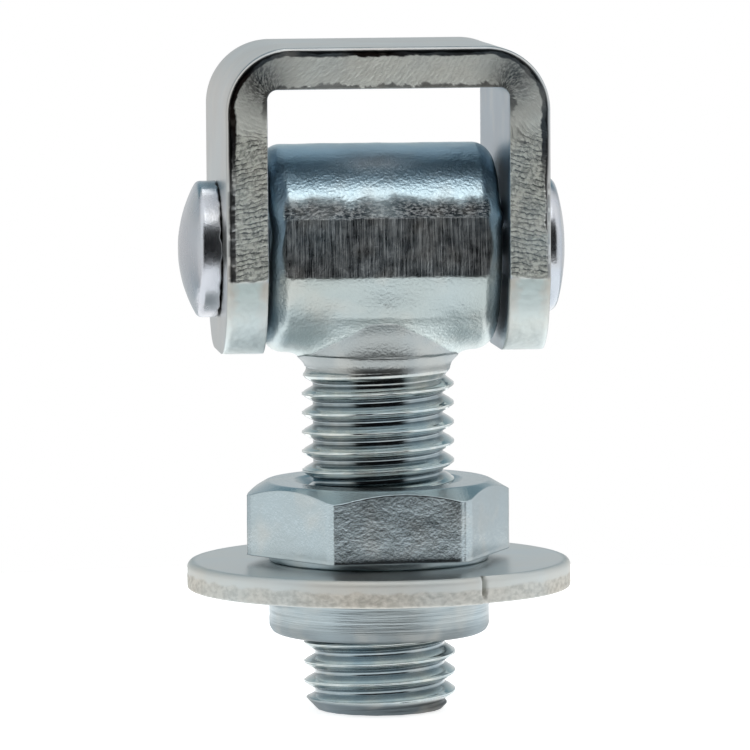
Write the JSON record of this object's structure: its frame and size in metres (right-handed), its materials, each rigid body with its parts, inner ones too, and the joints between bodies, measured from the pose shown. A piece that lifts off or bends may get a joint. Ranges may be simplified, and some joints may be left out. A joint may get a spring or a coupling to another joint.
{
  "type": "adjustable gate hinge",
  "caption": "Weld-on gate hinge with a U bracket riveted to a forged eye bolt, whose threaded stud adjusts in a flanged boss and is locked by a nut.",
  "frame": {"origin": "middle of the bracket's outer face, where it is welded to the post", "axes": "+Z out of that face towards the post, +X along the hinge pin to its peened end, the stud hangs along -Z"},
  "size_m": [0.0508, 0.05, 0.0866],
  "materials": {
    "zinc_flat_bar": "zinc plated rolled bar with rough sheared edges",
    "zinc_rivet": "zinc plated, headed and peened",
    "zinc_forging": "zinc plated forging, blue passivated, with a rolled thread",
    "zinc_nut": "zinc plated, blue passivated",
    "zinc_stamping": "zinc plated blanked plate",
    "zinc_turned": "zinc plated, turned"
  },
  "bodies": {
    "post_bracket": {"bracket": "zinc_flat_bar", "hinge_pin": "zinc_rivet"},
    "eye": {"eye_bolt": "zinc_forging"},
    "flange": {"flange_disc": "zinc_stamping", "threaded_boss": "zinc_turned"},
    "nut": {"lock_nut": "zinc_nut"}
  },
  "joints": [
    {"name": "gate_swing", "type": "hinge", "parent": "post_bracket", "child": "eye", "pos_m": [0, 0, -0.02645], "axis": [1, 0, 0], "range_deg": [-100, 100]},
    {"name": "stud_adjust", "type": "slide", "parent": "eye", "child": "flange", "axis": [0, 0, 1], "range_m": [-0.0075, 0.005]},
    {"name": "nut_release", "type": "slide", "parent": "flange", "child": "nut", "axis": [0, 0, 1], "range_m": [0, 0.005]}
  ]
}
